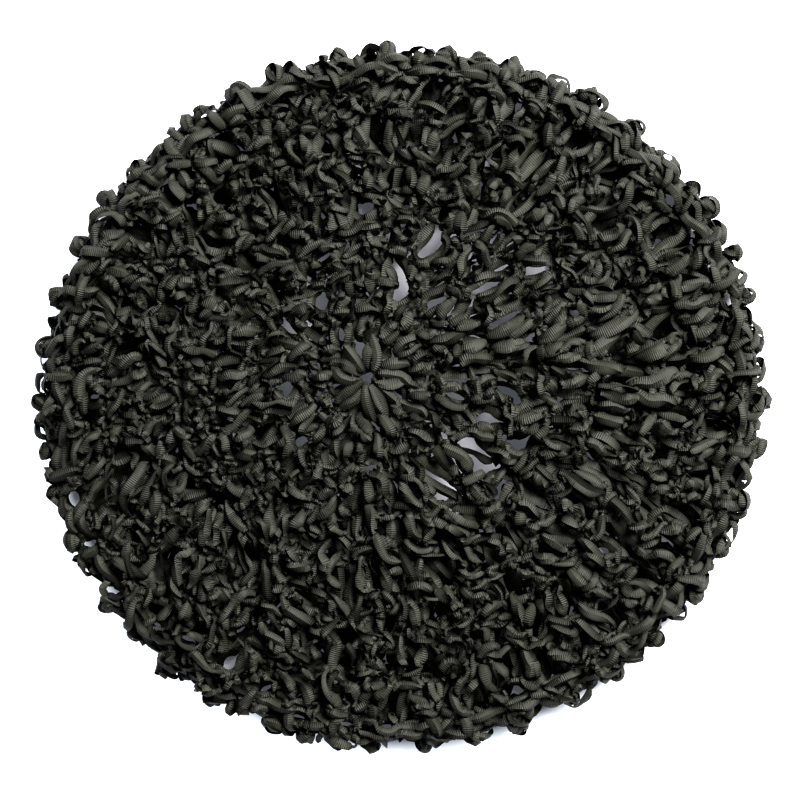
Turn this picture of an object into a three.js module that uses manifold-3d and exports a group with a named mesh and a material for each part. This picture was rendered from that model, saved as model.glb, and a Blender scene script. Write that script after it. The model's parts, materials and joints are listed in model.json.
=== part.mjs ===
// A crocheted hair snood of ribbed ribbon, lying flat with its crown up, in millimetres, +Z up.
// It is worked in rounds: a small ring at the crown's centre, eight crown rounds, two rounds that
// fold over at the rim, four rounds underneath and a gathered band round the head opening.
// Each round is a closed wall as thick as the crochet, with the net's wide gaps cut through it.
// The origin is on the surface that it lies on, under the middle of its oval outline.

import * as THREE from "three";
import { mergeVertices } from "three/addons/utils/BufferGeometryUtils.js";
import Module from "manifold-3d";

// Driving dimensions
const snoodLength = 261; // the oval outline along its long way, over the rim's fold
const snoodWidth = 251; // and across it
const ovalTurn = THREE.MathUtils.degToRad(13); // of the long way, from +X towards +Y
const wallThickness = 5.2; // of the crochet along the middle of a round
const jointThickness = 3.4; // of the crochet where two rounds meet
const pouchDepth = 10; // clear height inside, at the rim
const crownRise = 4; // of the crown's middle above its rim
const crownCentre = new THREE.Vector2(-12, 7); // where the rounds start, off the oval's middle
const ringBore = 4; // hole in the centre ring
const ringWidth = 3.5; // of the centre ring's wall, seen from above
const openingLength = 112; // head opening inside its band
const openingWidth = 106;
const openingCentre = new THREE.Vector2(9, 12);
const bandWidth = 8; // of the gathered band, seen from above
const bandHeight = 6.4;
const roundClearance = 0.5; // left between one round and the next
const bobbleCount = 44; // stitches that stand out along the rim
const bobbleReach = 3; // how far each stands out
const bandGathers = 18; // puckers round the band
const gatherDepth = 0.7; // how far each pucker draws the band in

// Facets
const roundSegments = 32; // around a round
const segmentsPerBobble = 2;
const segmentsPerGather = 3;
const ringSegments = 20;
const rimSteps = 3; // round the outside of each rim round

// The crown's rounds, from the centre out. to: where the round ends, as a share of the crown's reach.
// gaps: how many are cut in it. gapWidth: each gap as a share of its part of the round.
// gapHeight: as a share of the round's height. start: the first gap, as a share of a gap's part.
const crownRounds = [
  { name: "crown_round_1", to: 0.12, gaps: 0, gapWidth: 0, gapHeight: 0, start: 0 },
  { name: "crown_round_2", to: 0.245, gaps: 7, gapWidth: 0.3, gapHeight: 0.4, start: 0.2 },
  { name: "crown_round_3", to: 0.37, gaps: 10, gapWidth: 0.34, gapHeight: 0.42, start: 0.6 },
  { name: "crown_round_4", to: 0.495, gaps: 12, gapWidth: 0.33, gapHeight: 0.42, start: 0.1 },
  { name: "crown_round_5", to: 0.62, gaps: 13, gapWidth: 0.3, gapHeight: 0.42, start: 0.5 },
  { name: "crown_round_6", to: 0.75, gaps: 14, gapWidth: 0.28, gapHeight: 0.44, start: 0.9 },
  { name: "crown_round_7", to: 0.875, gaps: 14, gapWidth: 0.26, gapHeight: 0.44, start: 0.3 },
  { name: "crown_round_8", to: 1, gaps: 15, gapWidth: 0.26, gapHeight: 0.44, start: 0.7 },
];

// The two rounds that fold over the rim, in shares of the half turn from the crown to the underside
const rimRounds = [
  { name: "rim_round_upper", from: 0, to: 0.5 },
  { name: "rim_round_lower", from: 0.5, to: 1 },
];

// The rounds underneath, from the fold in to the band, in the same columns. to: share of the way in.
const undersideRounds = [
  { name: "underside_round_1", to: 0.25, gaps: 9, gapWidth: 0.17, gapHeight: 0.44, start: 0.3 },
  { name: "underside_round_2", to: 0.5, gaps: 8, gapWidth: 0.17, gapHeight: 0.44, start: 0.7 },
  { name: "underside_round_3", to: 0.75, gaps: 7, gapWidth: 0.17, gapHeight: 0.44, start: 0.2 },
  { name: "underside_round_4", to: 1, gaps: 6, gapWidth: 0.17, gapHeight: 0.44, start: 0.6 },
];

// Soft swells and dents of the crown as it lies. turn: direction from the crown's centre, in degrees.
// at: share of the crown's reach. spread: their radius, as a share of the snood's length.
// rise: their height, as a share of the crown's rise, negative for a dent.
const crownSwells = [
  { turn: 2, at: 0.62, spread: 0.11, rise: 0.3 },
  { turn: 78, at: 0.5, spread: 0.13, rise: -0.35 },
  { turn: 165, at: 0.72, spread: 0.14, rise: 0.25 },
  { turn: 250, at: 0.6, spread: 0.15, rise: -0.25 },
  { turn: 312, at: 0.55, spread: 0.12, rise: 0.3 },
];

// Heights and radii that follow from the dimensions above
const halfWall = wallThickness / 2;
const halfJoint = jointThickness / 2;
const foldRadius = (pouchDepth + wallThickness) / 2; // of the wall's middle, at the rim
const foldReach = foldRadius + halfWall; // from the fold's axis to the outline
const undersideMid = halfWall;
const foldAxisHeight = undersideMid + foldRadius;
const crownRimMid = foldAxisHeight + foldRadius;
const ringOuter = ringBore / 2 + ringWidth;

// A point of an oval about the middle of the snood, turned as the outline is
function ovalPoint(length, width, turn) {
  const along = (length / 2) * Math.cos(turn);
  const across = (width / 2) * Math.sin(turn);
  return new THREE.Vector2(along, across).rotateAround(new THREE.Vector2(), ovalTurn);
}

// The fold's axis at a turn of the columns, and the level direction in which it faces
function foldAt(turn) {
  const outline = ovalPoint(snoodLength, snoodWidth, turn);
  const outward = outline.clone().normalize();
  return { outward, axis: outline.addScaledVector(outward, -foldReach) };
}

function swellAt(point) {
  let height = 0;
  for (const swell of crownSwells) {
    const way = new THREE.Vector2(1, 0).rotateAround(
      new THREE.Vector2(),
      THREE.MathUtils.degToRad(swell.turn),
    );
    const middle = crownCentre.clone().addScaledVector(way, (swell.at * snoodLength) / 2);
    const away = point.distanceTo(middle) / (swell.spread * snoodLength);
    height += swell.rise * crownRise * Math.exp(-away * away);
  }
  return height;
}

// Each place function takes a share of the way along the wall, the turn of the column and the
// height above the wall's middle on its outside, and gives the point of the snood there.
function crownPlace(share, turn, out) {
  const reach = foldAt(turn).axis.sub(crownCentre);
  const radius = ringOuter + share * (reach.length() - ringOuter);
  const point = crownCentre.clone().addScaledVector(reach.normalize(), radius);
  const domed = crownRise * (1 - share * share);
  const fading = 1 - Math.max(0, share) ** 4;
  const height = crownRimMid + domed + fading * swellAt(point);
  return new THREE.Vector3(point.x, point.y, height + out);
}

function foldPlace(share, turn, out) {
  const { axis, outward } = foldAt(turn);
  const angle = share * Math.PI;
  const bobble = Math.max(0, Math.cos(bobbleCount * turn)) * bobbleReach;
  const stand = out > 0 ? bobble * Math.sin(angle) ** 2 : 0;
  const radius = foldRadius + out + stand;
  const point = axis.addScaledVector(outward, radius * Math.sin(angle));
  return new THREE.Vector3(point.x, point.y, foldAxisHeight + radius * Math.cos(angle));
}

// The band's outside, where the rounds underneath end
function bandOutline(turn, inward = 0) {
  const puckered = bandWidth - inward;
  return ovalPoint(openingLength + 2 * puckered, openingWidth + 2 * puckered, turn).add(openingCentre);
}

function undersidePlace(share, turn, out) {
  const point = foldAt(turn).axis.lerp(bandOutline(turn), share);
  return new THREE.Vector3(point.x, point.y, undersideMid - out);
}

function bandPlace(inward, turn, height) {
  const pucker = gatherDepth * (0.5 + 0.5 * Math.cos(bandGathers * turn));
  const middle = bandWidth / 2;
  const drawn = inward + (pucker * (inward - middle)) / middle;
  const point = bandOutline(turn, drawn + gatherDepth);
  return new THREE.Vector3(point.x, point.y, height);
}

function ringPlace(radius, turn, height) {
  const point = crownCentre.clone().addScaledVector(foldAt(turn).axis.sub(crownCentre).normalize(), radius);
  const seat = crownPlace(0, turn, 0).z;
  return new THREE.Vector3(point.x, point.y, seat + height);
}

// How long a share of 1 is at a turn, for the crown or the underside
function wayLength(place, turn) {
  return place(0, turn, 0).distanceTo(place(1, turn, 0));
}

// Solids
const wasm = await Module();
wasm.setup();

function solidOf(geometry) {
  geometry.deleteAttribute("normal");
  geometry.deleteAttribute("uv");
  const merged = mergeVertices(geometry, 1e-4);
  return new wasm.Manifold(
    new wasm.Mesh({
      numProp: 3,
      vertProperties: merged.attributes.position.array,
      triVerts: new Uint32Array(merged.index.array),
    }),
  );
}

function geometryOf(solid) {
  const mesh = solid.getMesh();
  const geometry = new THREE.BufferGeometry();
  geometry.setAttribute("position", new THREE.BufferAttribute(new Float32Array(mesh.vertProperties), 3));
  geometry.setIndex(new THREE.BufferAttribute(new Uint32Array(mesh.triVerts), 1));
  return geometry;
}

// A closed section carried round the snood. The section's points are the first and last arguments
// of the place function, listed with the outside of the wall on their left.
function carriedRound(section, segments, place) {
  const closed = [...section, section[0]].map(([share, out]) => new THREE.Vector2(share, out));
  const geometry = new THREE.LatheGeometry(closed, segments);
  const position = geometry.attributes.position;
  for (let i = 0; i <= segments; i += 1) {
    const turn = ((i % segments) / segments) * 2 * Math.PI;
    closed.forEach((point, j) => {
      const spot = place(point.x, turn, point.y);
      position.setXYZ(i * closed.length + j, spot.x, spot.y, spot.z);
    });
  }
  return solidOf(geometry);
}

// The outline of a gap in a net of leaning stitches: a five-sided slot, drawn in shares of its size
const gapOutline = [
  { across: -0.5, along: 0.1 },
  { across: -0.16, along: -0.5 },
  { across: 0.42, along: -0.4 },
  { across: 0.5, along: 0.2 },
  { across: -0.05, along: 0.5 },
];

function gapCutter(round, from, index, place) {
  const middle = (from + round.to) / 2;
  const turn = ((index + round.start) / round.gaps) * 2 * Math.PI;
  const turnSize = (round.gapWidth / round.gaps) * 2 * Math.PI;
  const shareSize = round.gapHeight * (round.to - from);
  const outline = new THREE.Shape(gapOutline.map((p) => new THREE.Vector2(p.across, p.along)));
  const depth = wallThickness * 2;
  const geometry = new THREE.ExtrudeGeometry(outline, { depth, bevelEnabled: false, steps: 1 });
  const position = geometry.attributes.position;
  for (let i = 0; i < position.count; i += 1) {
    const share = middle + position.getY(i) * shareSize;
    const spot = place(share, turn - position.getX(i) * turnSize, position.getZ(i) - depth / 2);
    position.setXYZ(i, spot.x, spot.y, spot.z);
  }
  return solidOf(geometry);
}

function pierced(solid, round, from, place) {
  let cut = solid;
  for (let index = 0; index < round.gaps; index += 1) {
    cut = cut.subtract(gapCutter(round, from, index, place));
  }
  return cut;
}

// A share that leaves half the clearance at a round's end
function clearShare(place) {
  return roundClearance / 2 / Math.min(...[0, 0.25, 0.5, 0.75].map((t) => wayLength(place, t * 2 * Math.PI)));
}

function crownRound(index) {
  const round = crownRounds[index];
  const from = index ? crownRounds[index - 1].to : 0;
  const clear = clearShare(crownPlace);
  const low = from + clear;
  const high = round.to - clear;
  const middle = (low + high) / 2;
  const section = [
    [low, -halfJoint],
    [high, -halfJoint],
    [high, halfJoint],
    [middle, halfWall],
    [low, halfJoint],
  ];
  return pierced(carriedRound(section, roundSegments, crownPlace), round, from, crownPlace);
}

// Underneath the wall is pressed flat where it lies, and swells on its upper side only
function undersideRound(index) {
  const round = undersideRounds[index];
  const from = index ? undersideRounds[index - 1].to : 0;
  const clear = clearShare(undersidePlace);
  const low = from + clear;
  const high = round.to - clear;
  const joint = jointThickness - halfWall;
  const section = [
    [low, -joint],
    [(low + high) / 2, -halfWall],
    [high, -joint],
    [high, halfWall],
    [low, halfWall],
  ];
  return pierced(carriedRound(section, roundSegments, undersidePlace), round, from, undersidePlace);
}

function rimRound({ from, to }) {
  const clear = roundClearance / 2 / (foldRadius - halfWall) / Math.PI;
  const shareAt = (step, steps) => THREE.MathUtils.lerp(from + clear, to - clear, step / steps);
  const outside = [];
  const inside = [];
  const insideSteps = Math.ceil(rimSteps / 2);
  for (let i = rimSteps; i >= 0; i -= 1) {
    outside.push([shareAt(i, rimSteps), halfWall]);
  }
  for (let i = 0; i <= insideSteps; i += 1) {
    inside.push([shareAt(i, insideSteps), -halfWall]);
  }
  return carriedRound([...inside, ...outside], bobbleCount * segmentsPerBobble, foldPlace);
}

// The band is a soft roll round the opening, flat where it lies
function openingBand() {
  const clear = roundClearance;
  const width = bandWidth - gatherDepth;
  const section = [
    [width * 0.85, 0],
    [width * 0.15 + clear, 0],
    [clear, bandHeight * 0.3],
    [clear, bandHeight * 0.7],
    [width * 0.25, bandHeight],
    [width * 0.75, bandHeight],
    [width, bandHeight * 0.7],
    [width, bandHeight * 0.3],
  ];
  return carriedRound(section, bandGathers * segmentsPerGather, bandPlace);
}

function centreRing() {
  const inner = ringBore / 2;
  const outer = ringOuter - roundClearance;
  const crest = (inner + outer) / 2;
  const section = [
    [inner, -halfJoint * 0.5],
    [crest, -halfJoint],
    [outer, -halfJoint * 0.5],
    [outer, halfJoint * 0.5],
    [crest, halfJoint],
    [inner, halfJoint * 0.5],
  ];
  return carriedRound(section, ringSegments, ringPlace);
}

// Assembly
const ribbonColours = { crown: 0x3c3e38, rim: 0x383a34, underside: 0x34362f };

function piece(name, solid, colour) {
  const material = new THREE.MeshStandardMaterial({ color: colour, roughness: 0.62, metalness: 0 });
  const mesh = new THREE.Mesh(geometryOf(solid), material);
  mesh.name = name;
  return mesh;
}

const snood = new THREE.Group();
const crown = new THREE.Group();
const rim = new THREE.Group();
const underside = new THREE.Group();
crown.add(piece("centre_ring", centreRing(), ribbonColours.crown));
crownRounds.forEach((round, index) => {
  crown.add(piece(round.name, crownRound(index), ribbonColours.crown));
});
rimRounds.forEach((round) => {
  rim.add(piece(round.name, rimRound(round), ribbonColours.rim));
});
undersideRounds.forEach((round, index) => {
  underside.add(piece(round.name, undersideRound(index), ribbonColours.underside));
});
underside.add(piece("opening_band", openingBand(), ribbonColours.underside));
snood.add(crown, rim, underside);

export default snood;
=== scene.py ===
# A crocheted hair snood of dark ribbed ribbon, lying flat on a pale floor, seen from above
import json
import math

import bpy
import numpy as np
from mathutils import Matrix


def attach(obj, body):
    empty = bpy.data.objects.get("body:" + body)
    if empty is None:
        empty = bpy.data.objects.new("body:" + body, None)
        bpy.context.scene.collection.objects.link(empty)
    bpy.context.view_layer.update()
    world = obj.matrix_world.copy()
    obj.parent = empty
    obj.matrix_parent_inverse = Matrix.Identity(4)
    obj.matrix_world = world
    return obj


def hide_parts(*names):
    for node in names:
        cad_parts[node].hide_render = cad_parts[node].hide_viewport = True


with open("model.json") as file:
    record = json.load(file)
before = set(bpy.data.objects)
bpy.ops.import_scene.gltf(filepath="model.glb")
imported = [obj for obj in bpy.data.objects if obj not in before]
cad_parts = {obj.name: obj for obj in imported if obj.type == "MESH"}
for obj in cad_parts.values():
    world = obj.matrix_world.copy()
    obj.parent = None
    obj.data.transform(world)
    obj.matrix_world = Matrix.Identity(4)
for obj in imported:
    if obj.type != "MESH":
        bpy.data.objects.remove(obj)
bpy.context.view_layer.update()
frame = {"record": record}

mm = 0.001
rng = np.random.default_rng(27)

# The camera looks straight down. At the aimed height its picture takes in 288 mm, which is 0.36 mm a pixel
viewpoint = {"middle": (-0.55, -0.85), "height": 692, "aim": 12, "lens": 85, "sensor": 36}  # in mm

# Where the net lies, in millimetres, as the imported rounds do
netForm = {
    "length": 261, "width": 251, "turn": math.radians(13),  # the oval outline over the rim
    "wall": 5.2,
    "pouch": 10,  # clear height inside at the rim
    "rise": 4,  # of the crown's middle over its rim
    "centre": np.array([-12.0, 7.0]),
    "ring": 5.5,  # radius where the first round starts
    "opening": (112, 106), "openingCentre": np.array([9.0, 12.0]),
    "band": 8,  # width of the gathered band
    "undersideMid": 3.2,
    "undersideDepth": 0.8,  # how much of a stitch's depth is left underneath
    "wander": 0.02, "twist": 0.05,  # how far the rounds stray from true rings
}
netForm["foldRadius"] = (netForm["pouch"] + netForm["wall"]) / 2
netForm["foldReach"] = netForm["foldRadius"] + netForm["wall"] / 2

# Soft swells and dents of the crown: direction in degrees, place and spread as shares, height in mm
crownSwells = [
    (2, 0.62, 0.11, 1.2),
    (78, 0.5, 0.13, -1.4),
    (165, 0.72, 0.14, 1.0),
    (250, 0.6, 0.15, -1.0),
    (312, 0.55, 0.12, 1.2),
]


def turned(points, angle):
    c, s = math.cos(angle), math.sin(angle)
    return np.stack([points[..., 0] * c - points[..., 1] * s, points[..., 0] * s + points[..., 1] * c], -1)


def unit(vectors):
    return vectors / np.maximum(np.linalg.norm(vectors, axis=-1, keepdims=True), 1e-9)


def dots(a, b):
    return np.sum(a * b, -1, keepdims=True)


def oval(length, width, turn):
    flat = np.stack([np.cos(turn) * length / 2, np.sin(turn) * width / 2], -1)
    return turned(flat, netForm["turn"])


def foldAxis(turn):
    outline = oval(netForm["length"], netForm["width"], turn)
    outward = unit(outline)
    return outline - outward * netForm["foldReach"], outward


def crownHeight(share):
    # of the crown without its swells and dents
    return netForm["undersideMid"] + 2 * netForm["foldRadius"] + netForm["rise"] * (1 - share**2)


def crownPlace(share, turn, out):
    # the rounds stray in waves from true rings, least at the centre and the rim
    inside = np.clip(share, 0, 1) * (1 - np.clip(share, 0, 1)) * 4
    stray = np.sin(3 * turn + 9 * share + 1.3) + 0.6 * np.sin(7 * turn - 5 * share + 0.4)
    turn = turn + inside * netForm["twist"] * np.sin(2 * turn + 6 * share)
    share = share + inside * netForm["wander"] * stray
    reach = foldAxis(turn)[0] - netForm["centre"]
    length = np.linalg.norm(reach, axis=-1)
    radius = netForm["ring"] + share * (length - netForm["ring"])
    flat = netForm["centre"] + unit(reach) * radius[..., None]
    height = crownHeight(share)
    fading = 1 - np.clip(share, 0, 1) ** 4
    for degrees, at, spread, swell in crownSwells:
        way = np.array([math.cos(math.radians(degrees)), math.sin(math.radians(degrees))])
        middle = netForm["centre"] + way * at * netForm["length"] / 2
        away = np.linalg.norm(flat - middle, axis=-1) / (spread * netForm["length"])
        height = height + fading * swell * np.exp(-away**2)
    return np.concatenate([flat, (height + out)[..., None]], -1)


def foldPlace(share, turn, out):
    axis, outward = foldAxis(turn)
    angle = share * math.pi
    radius = netForm["foldRadius"] + out
    flat = axis + outward * (radius * np.sin(angle))[..., None]
    height = netForm["undersideMid"] + netForm["foldRadius"] + radius * np.cos(angle)
    return np.concatenate([flat, height[..., None]], -1)


def bandOutline(turn, inward):
    length, width = netForm["opening"]
    grow = 2 * (netForm["band"] - inward)
    flat = np.stack([np.cos(turn) * (length + grow) / 2, np.sin(turn) * (width + grow) / 2], -1)
    return turned(flat, netForm["turn"]) + netForm["openingCentre"]


def undersidePlace(share, turn, out):
    start = foldAxis(turn)[0]
    flat = start + (bandOutline(turn, np.zeros_like(turn)) - start) * share[..., None]
    height = netForm["undersideMid"] - netForm["undersideDepth"] * out
    return np.concatenate([flat, height[..., None]], -1)


bandForm = {
    "wrap": 1.4,  # half turns from its lower side to its upper one
    "roll": 1.6, "depth": 0.35,  # half its height in mm, and how much of a stitch's depth shows
    "flatness": 1.4, "lift": 0.5,  # times that sideways, and mm over the underside's middle
}


def bandPlace(share, turn, out):
    # round the band, from its lower outside over the opening's lip to its upper side
    middle = bandOutline(turn, np.full_like(turn, netForm["band"] / 2))
    inward = unit(netForm["openingCentre"] - middle)
    angle = (share - 0.5) * math.pi * bandForm["wrap"]
    roll = bandForm["roll"] + bandForm["depth"] * out
    flat = middle + inward * (bandForm["flatness"] * roll * np.cos(angle))[..., None]
    height = netForm["undersideMid"] + bandForm["lift"] + roll * np.sin(angle)
    return np.concatenate([flat, height[..., None]], -1)


# What the stitches are worked from. In each row across is a share of the column's pitch, up a share of
# the course's height, out is in mm, and flat is the share of the ribbon's width that lies spread
postPath = [
    (-0.34, 0.96, -1.4, 0.6),
    (-0.30, 0.60, -2.4, 0.8),
    (-0.26, 0.20, -2.4, 0.8),
    (-0.28, -0.06, -1.0, 0.55),  # up through the round below
    (-0.26, -0.02, 1.2, 0.65),
    (-0.22, 0.16, 3.2, 0.95),  # first leg, on the front
    (-0.14, 0.40, 4.0, 1.0),
    (-0.05, 0.62, 2.8, 0.95),
    (-0.01, 0.76, 0.4, 0.7),
    (0.06, 0.84, -1.6, 0.5),  # behind the neck
    (0.17, 0.84, -1.4, 0.5),
    (0.26, 0.76, -0.4, 0.65),
    (0.27, 0.60, 0.4, 0.9),  # second leg, lower
    (0.22, 0.36, 1.0, 1.0),
    (0.14, 0.12, 0.6, 0.9),
    (0.05, -0.04, -0.8, 0.6),
    (0.06, -0.04, -2.0, 0.5),
    (0.10, 0.24, -2.8, 0.8),  # up the back
    (0.06, 0.56, -2.8, 0.8),
]
wrapPath = [
    (-0.14, 0.66, -2.0, 0.6),
    (-0.30, 0.60, -0.2, 0.6),
    (-0.25, 0.67, 2.4, 0.75),
    (-0.07, 0.80, 4.2, 0.85),  # across the neck
    (0.12, 0.92, 2.8, 0.75),
    (0.23, 1.00, 0.2, 0.6),
    (0.14, 1.04, -2.0, 0.55),
    (-0.06, 1.00, -2.0, 0.55),
]
waistPath = [
    (-0.05, 0.56, -2.4, 0.6),
    (-0.36, 0.40, -0.6, 0.6),
    (-0.28, 0.42, 2.6, 0.75),
    (-0.08, 0.50, 4.6, 0.9),  # across the first leg
    (0.12, 0.57, 2.8, 0.75),
    (0.22, 0.57, -0.2, 0.6),
    (0.06, 0.60, -2.4, 0.55),
]
barePath = [
    (0.02, 0.80, -2.4, 0.6),
    (-0.10, 0.98, -1.8, 0.55),
]
chainPath = [
    (-0.15, 1.10, -0.6, 0.55),
    (-0.02, 1.18, 0.6, 0.7),  # the link's upper strand
    (0.20, 1.18, 1.0, 0.8),
    (0.42, 1.08, 0.6, 0.75),
    (0.57, 0.95, -0.4, 0.6),
    (0.46, 0.84, -0.8, 0.7),  # and its lower one
    (0.28, 0.82, -1.0, 0.7),
    (0.14, 0.90, -1.6, 0.55),
    (0.22, 1.00, -2.2, 0.6),
    (0.45, 1.00, -2.4, 0.7),
]
shortChainPath = [  # one strand on to the next stitch, in the small rounds near the centre
    (-0.05, 1.04, 0.4, 0.6),
    (0.12, 1.12, 2.0, 0.8),
    (0.38, 1.04, 2.2, 0.85),
    (0.58, 0.94, 0.6, 0.6),
    (0.50, 0.98, -1.6, 0.6),
]
openPath = [  # most of the crown's, from its third round out: two legs, a knot over them and a link
    (-0.34, 0.94, -2.0, 0.6),
    (-0.28, 0.50, -2.8, 0.8),
    (-0.24, 0.00, -1.6, 0.55),
    (-0.24, 0.03, 0.8, 0.6),
    (-0.22, 0.14, 3.0, 0.9),  # first leg
    (-0.18, 0.34, 4.2, 1.05),
    (-0.12, 0.52, 3.4, 0.95),
    (-0.06, 0.64, 0.8, 0.6),
    (0.00, 0.68, -1.6, 0.5),
    (0.10, 0.68, -1.2, 0.5),
    (0.16, 0.62, 0.8, 0.6),
    (0.15, 0.48, 3.0, 0.95),  # second leg
    (0.10, 0.28, 3.6, 1.0),
    (0.07, 0.10, 2.2, 0.85),
    (0.05, 0.00, -0.6, 0.55),
    (0.06, 0.10, -2.6, 0.6),
    (-0.06, 0.60, -2.6, 0.6),
    (-0.22, 0.66, -0.6, 0.55),  # the knot, wound once over and half round again
    (-0.24, 0.72, 2.2, 0.7),
    (-0.06, 0.77, 4.4, 0.8),
    (0.13, 0.80, 2.8, 0.7),
    (0.18, 0.86, 0.2, 0.55),
    (0.00, 0.92, -1.6, 0.5),
    (-0.14, 0.92, 0.8, 0.55),
    (-0.08, 0.96, 2.8, 0.65),
    (0.12, 1.00, 3.0, 0.7),  # the link
    (0.30, 1.02, 2.2, 0.75),
    (0.46, 0.94, 0.4, 0.6),
    (0.58, 0.90, -1.4, 0.55),
    (0.46, 0.88, -1.8, 0.6),
    (0.28, 0.90, 0.2, 0.65),
    (0.40, 0.92, 1.0, 0.7),
    (0.60, 0.94, -1.6, 0.6),
]
starPath = [  # the centre's: one broad leg
    (-0.20, 0.98, -2.0, 0.6),
    (-0.12, 0.50, -2.8, 0.6),
    (-0.05, 0.04, -2.4, 0.45),
    (0.00, -0.03, -0.6, 0.4),
    (0.00, 0.02, 1.2, 0.5),
    (0.02, 0.24, 2.4, 0.85),
    (0.03, 0.55, 2.8, 1.05),
    (0.02, 0.86, 2.2, 0.95),
    (0.00, 1.06, 0.4, 0.6),
    (0.15, 1.10, -1.4, 0.55),
    (0.42, 1.02, -2.0, 0.6),
]
backPath = [  # two strokes of the net's inner layer, which closes it between the gaps
    (-0.35, 0.00, -2.6, 0.9),
    (-0.28, 0.50, -3.0, 1.05),
    (-0.25, 1.02, -2.6, 0.9),
    (0.05, 1.10, -2.4, 0.8),
    (0.22, 0.98, -2.6, 0.9),
    (0.25, 0.50, -3.0, 1.05),
    (0.22, 0.00, -2.6, 0.9),
    (0.45, -0.08, -2.4, 0.8),
]

stitchLook = {
    "jitter": (0.06, 0.055, 0.45, 0.07),  # of each point of the path: across, up, out and flat
    "openLoose": 1.35,  # times that in the courses of open stitches
    "drift": 0.11, "spin": 0.3, "spinMean": 0.06,  # of each column: share of the pitch, and radians
    "tall": 0.1, "slide": 0.07,  # uneven height and place up the course
    "wrapShare": 0.8, "waistShare": 0.4,  # columns with a strand wrapped across the neck, and lower
    "spanPoints": 8, "strandStep": 1.3,  # points in a span of the path, and mm between those that settle
}

# How uneven the stitches lie, in each part of the net
roughness = {
    "least": 0.95, "added": 0.5, "roughestTurn": 0.6,  # most of all at this share of the way round
    "star": 0.8, "innerCrown": 1.2, "innerOther": 0.5,
    "mixed": 1.1, "mixedFrom": 0.8,  # the rougher it is, the fewer stitches are of the open kind
}


def newCourse(node, place, low, high, columns, wide, **kind):
    return {"node": node, "place": place, "from": low, "to": high, "columns": columns, "wide": wide, **kind}


# The courses of stitches, two of them in the crown's second round: node, place, where the course starts and
# ends as shares of the way across that part of the net, columns, and the ribbon's spread width in mm.
# plain is the share of small stitches that still have a wrapped neck
courses = [
    newCourse("crown_round_1", crownPlace, -0.028, 0.082, 13, 3.9, star=True),
    newCourse("crown_round_2", crownPlace, 0.075, 0.165, 13, 4.3, plain=0.15),
    newCourse("crown_round_2", crownPlace, 0.16, 0.25, 15, 4.3, plain=0.15),
    newCourse("crown_round_3", crownPlace, 0.24, 0.37, 18, 4.4, open=True),
    newCourse("crown_round_4", crownPlace, 0.365, 0.495, 25, 4.4, open=True),
    newCourse("crown_round_5", crownPlace, 0.49, 0.62, 31, 4.4, open=True),
    newCourse("crown_round_6", crownPlace, 0.615, 0.75, 36, 4.3, open=True),
    newCourse("crown_round_7", crownPlace, 0.745, 0.875, 42, 4.2, open=True),
    newCourse("crown_round_8", crownPlace, 0.87, 1.0, 47, 4.2, open=True),
    newCourse("rim_round_upper", foldPlace, -0.03, 0.5, 48, 4.3),
    newCourse("rim_round_lower", foldPlace, 0.5, 1.0, 44, 4.3),
    newCourse("underside_round_1", undersidePlace, 0.0, 0.25, 54, 4.8),
    newCourse("underside_round_2", undersidePlace, 0.25, 0.5, 50, 4.8),
    newCourse("underside_round_3", undersidePlace, 0.5, 0.75, 45, 4.8),
    newCourse("underside_round_4", undersidePlace, 0.75, 1.0, 38, 4.8),
    newCourse("opening_band", bandPlace, 0.1, 0.9, 30, 4.2),
]

# The inner layer's courses, wound plainly behind the others
innerCourses = [
    newCourse("crown_round_1", crownPlace, 0.01, 0.12, 9, 4.6),
    newCourse("crown_round_2", crownPlace, 0.12, 0.245, 20, 4.6),
    newCourse("crown_round_3", crownPlace, 0.245, 0.37, 30, 4.6),
    newCourse("crown_round_4", crownPlace, 0.37, 0.495, 37, 4.6),
    newCourse("crown_round_5", crownPlace, 0.495, 0.62, 40, 4.6),
    newCourse("crown_round_6", crownPlace, 0.62, 0.75, 34, 4.6),
    newCourse("crown_round_7", crownPlace, 0.75, 0.875, 34, 4.6),
    newCourse("crown_round_8", crownPlace, 0.875, 1.0, 38, 4.6),
    newCourse("rim_round_upper", foldPlace, 0.0, 0.5, 36, 4.6),
    newCourse("underside_round_1", undersidePlace, 0.0, 0.25, 70, 5.2),
    newCourse("underside_round_2", undersidePlace, 0.25, 0.5, 60, 5.2),
    newCourse("underside_round_3", undersidePlace, 0.5, 0.75, 48, 5.0),
    newCourse("underside_round_4", undersidePlace, 0.75, 1.0, 38, 5.0),
]


def smoothLoop(points, perSpan):
    # a closed smooth curve through the points
    a, b, c, d = (np.roll(points, back, 0)[:, None] for back in (1, 0, -1, -2))
    t = (np.arange(perSpan) / perSpan)[None, :, None]
    squared = 2 * a - 5 * b + 4 * c - d
    cubed = 3 * b - a - 3 * c + d
    curve = 0.5 * (2 * b + (c - a) * t + squared * t**2 + cubed * t**3)
    return curve.reshape(-1, points.shape[1])


def evenLoop(points, step):
    # the same loop, its first three columns the place, with its points an even step apart
    closed = np.vstack([points, points[:1]])
    along = np.concatenate([[0], np.cumsum(np.linalg.norm(np.diff(closed[:, :3], axis=0), axis=1))])
    count = int(round(along[-1] / step))
    at = np.arange(count) * along[-1] / count
    return np.stack([np.interp(at, along, closed[:, k]) for k in range(closed.shape[1])], -1)


def laidLoop(points, place, turn, share):
    # a ribbon's points in the net as place, outward direction and spread width
    line = place(share, turn, points[:, 2])
    raised = place(share, turn, points[:, 2] + 1)
    rows = np.hstack([line, unit(raised - line), points[:, 3:4]])
    return evenLoop(smoothLoop(rows, stitchLook["spanPoints"]), stitchLook["strandStep"])


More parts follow.
